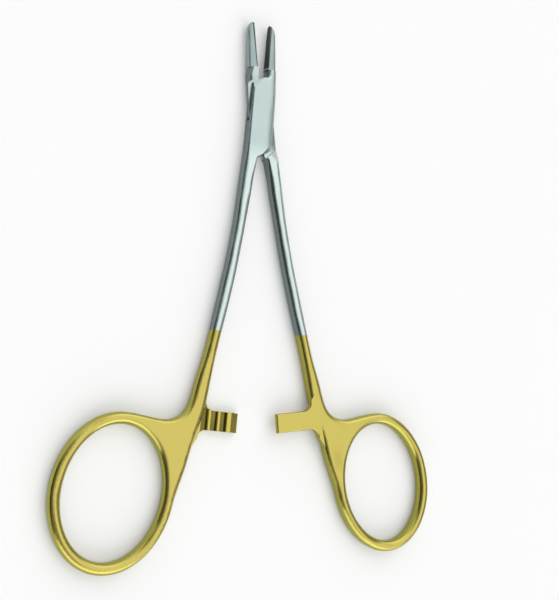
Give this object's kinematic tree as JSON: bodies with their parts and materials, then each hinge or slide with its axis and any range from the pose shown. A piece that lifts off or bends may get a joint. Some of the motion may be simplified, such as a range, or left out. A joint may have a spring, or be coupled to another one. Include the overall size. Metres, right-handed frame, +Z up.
{
  "type": "surgical needle holder",
  "caption": "Slim steel needle holder with short cross-hatched jaws, a box lock, long bowed shanks, a toothed ratchet and gilded finger rings.",
  "frame": {"origin": "middle of the resting instrument's outline on the surface it lies on", "axes": "+X across the two shanks, +Y along the instrument towards the jaws, +Z up from the surface, along the hinge"},
  "size_m": [0.0968, 0.1272, 0.0032],
  "materials": {
    "steel": "satin; polished with gilding from mid shank to the rings",
    "pin_steel": "ground flush and satin",
    "hard_metal": "matt, cross-hatched"
  },
  "bodies": {
    "box_side": {"box_half": "steel", "pivot_pin": "pin_steel", "box_jaw_insert": "hard_metal"},
    "tang_side": {"tang_half": "steel", "tang_jaw_insert": "hard_metal"}
  },
  "joints": [
    {"name": "box_lock_hinge", "type": "hinge", "parent": "box_side", "child": "tang_side", "pos_m": [0, 0.04007, 0.0016], "axis": [0, 0, 1], "range_deg": [-10.6, 39.4]}
  ]
}
